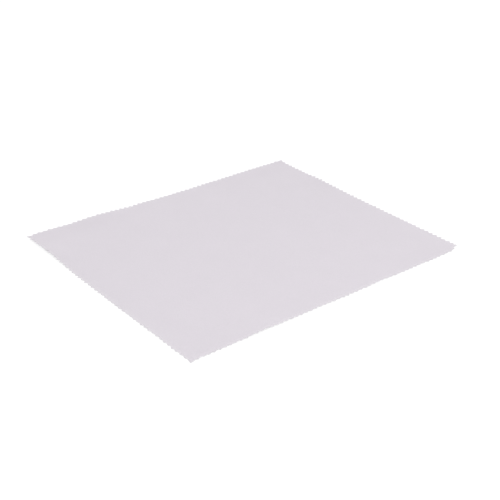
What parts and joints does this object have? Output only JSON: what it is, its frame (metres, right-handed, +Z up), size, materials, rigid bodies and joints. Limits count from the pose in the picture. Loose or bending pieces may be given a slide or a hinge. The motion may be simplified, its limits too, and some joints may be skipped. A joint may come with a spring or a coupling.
{
  "type": "mouse pad",
  "caption": "Thin rectangular cloth mouse pad with pinked edges, laid almost flat on a print of silicone grip dots.",
  "frame": {"origin": "on the desk, under the middle of the pad: the centre of the bottom of its bounding box", "axes": "+X to the user's right along the long side, +Y away from the user, +Z up out of the mouse surface"},
  "size_m": [0.22, 0.18, 0.0022],
  "materials": {
    "microfibre_cloth": "matte, soft nap, very pale lavender grey",
    "silicone": "satin, translucent milky white"
  },
  "bodies": {
    "root": {"pad_cloth": "microfibre_cloth", "grip_dot_r1_d1": "silicone", "grip_dot_r1_d2": "silicone", "grip_dot_r1_d3": "silicone", "grip_dot_r1_d4": "silicone", "grip_dot_r1_d5": "silicone", "grip_dot_r1_d6": "silicone", "grip_dot_r1_d7": "silicone", "grip_dot_r1_d8": "silicone", "grip_dot_r2_d1": "silicone", "grip_dot_r2_d2": "silicone", "grip_dot_r2_d3": "silicone", "grip_dot_r2_d4": "silicone", "grip_dot_r2_d5": "silicone", "grip_dot_r2_d6": "silicone", "grip_dot_r2_d7": "silicone", "grip_dot_r3_d1": "silicone", "grip_dot_r3_d2": "silicone", "grip_dot_r3_d3": "silicone", "grip_dot_r3_d4": "silicone", "grip_dot_r3_d5": "silicone", "grip_dot_r3_d6": "silicone", "grip_dot_r3_d7": "silicone", "grip_dot_r3_d8": "silicone", "grip_dot_r4_d1": "silicone", "grip_dot_r4_d2": "silicone", "grip_dot_r4_d3": "silicone", "grip_dot_r4_d4": "silicone", "grip_dot_r4_d5": "silicone", "grip_dot_r4_d6": "silicone", "grip_dot_r4_d7": "silicone", "grip_dot_r5_d1": "silicone", "grip_dot_r5_d2": "silicone", "grip_dot_r5_d3": "silicone", "grip_dot_r5_d4": "silicone", "grip_dot_r5_d5": "silicone", "grip_dot_r5_d6": "silicone", "grip_dot_r5_d7": "silicone", "grip_dot_r5_d8": "silicone", "grip_dot_r6_d1": "silicone", "grip_dot_r6_d2": "silicone", "grip_dot_r6_d3": "silicone", "grip_dot_r6_d4": "silicone", "grip_dot_r6_d5": "silicone", "grip_dot_r6_d6": "silicone", "grip_dot_r6_d7": "silicone", "grip_dot_r7_d1": "silicone", "grip_dot_r7_d2": "silicone", "grip_dot_r7_d3": "silicone", "grip_dot_r7_d4": "silicone", "grip_dot_r7_d5": "silicone", "grip_dot_r7_d6": "silicone", "grip_dot_r7_d7": "silicone", "grip_dot_r7_d8": "silicone"}
  },
  "joints": []
}
